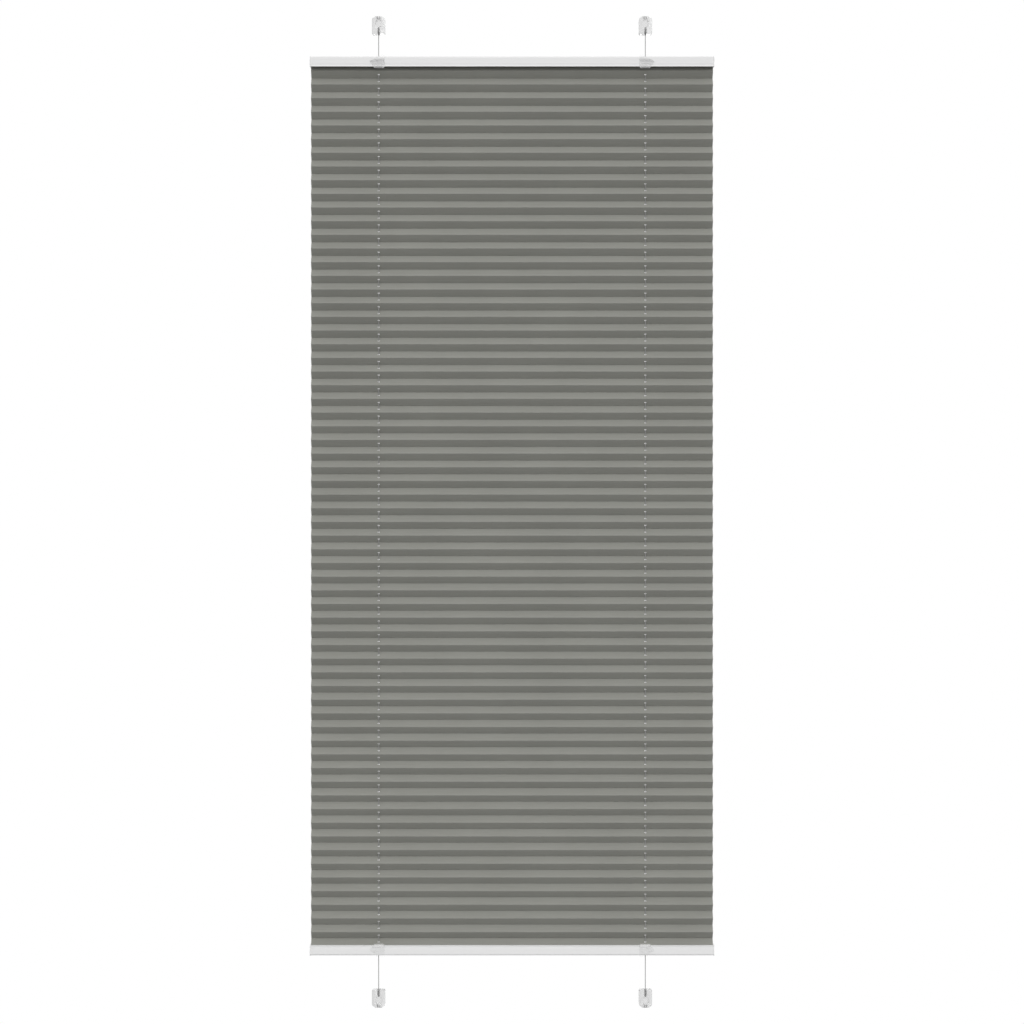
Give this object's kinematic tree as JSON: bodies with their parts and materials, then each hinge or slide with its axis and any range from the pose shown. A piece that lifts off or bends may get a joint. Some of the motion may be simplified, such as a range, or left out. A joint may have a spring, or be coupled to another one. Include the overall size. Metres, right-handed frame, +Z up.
{
  "type": "pleated blind",
  "caption": "Tensioned pleated window blind: a zigzag fabric sheet between two slim rails that slide on taut cords held by clear shoes.",
  "frame": {"origin": "midway between the two cords, on the plane of the top shoes' seats, at the cords' depth", "axes": "+Z up along the cords, +X to the right seen from the room, -Y towards the room"},
  "size_m": [0.45, 0.0258, 1.104],
  "materials": {
    "rail_white": "white powder coat, satin",
    "cap_white": "white moulded plastic, satin",
    "clear_plastic": "clear moulded plastic, glossy",
    "fabric_grey": "warm grey pleated polyester, matt",
    "cord_grey": "thin braided cord, mid grey to match the fabric",
    "knob_grey": "grey moulded knob",
    "guide_white": "white moulded plastic",
    "strip_white": "white extruded plastic strip"
  },
  "bodies": {
    "window_side": {"tension_cord_left": "cord_grey", "tension_cord_right": "cord_grey", "top_left_tension_shoe": "clear_plastic", "top_left_cord_knob": "knob_grey", "top_right_tension_shoe": "clear_plastic", "top_right_cord_knob": "knob_grey", "bottom_left_tension_shoe": "clear_plastic", "bottom_left_cord_knob": "knob_grey", "bottom_right_tension_shoe": "clear_plastic", "bottom_right_cord_knob": "knob_grey"},
    "top_rail": {"pleated_fabric": "fabric_grey", "top_rail": "rail_white", "top_fabric_strip": "strip_white", "top_cord_run_front": "cord_grey", "top_cord_run_rear": "cord_grey", "top_left_end_cap": "cap_white", "top_left_cord_guide": "guide_white", "top_left_handle_clip": "clear_plastic", "top_right_end_cap": "cap_white", "top_right_cord_guide": "guide_white", "top_right_handle_clip": "clear_plastic"},
    "bottom_rail": {"bottom_rail": "rail_white", "bottom_fabric_strip": "strip_white", "bottom_cord_run_front": "cord_grey", "bottom_cord_run_rear": "cord_grey", "bottom_left_end_cap": "cap_white", "bottom_left_cord_guide": "guide_white", "bottom_left_handle_clip": "clear_plastic", "bottom_right_end_cap": "cap_white", "bottom_right_cord_guide": "guide_white", "bottom_right_handle_clip": "clear_plastic"}
  },
  "joints": [
    {"name": "top_rail_slide", "type": "slide", "parent": "window_side", "child": "top_rail", "axis": [0, 0, 1], "range_m": [-0.935, 0.023], "deforming": ["pleated_fabric"]},
    {"name": "bottom_rail_slide", "type": "slide", "parent": "window_side", "child": "bottom_rail", "axis": [0, 0, 1], "range_m": [-0.0366, 0.935], "deforming": ["pleated_fabric"]}
  ]
}
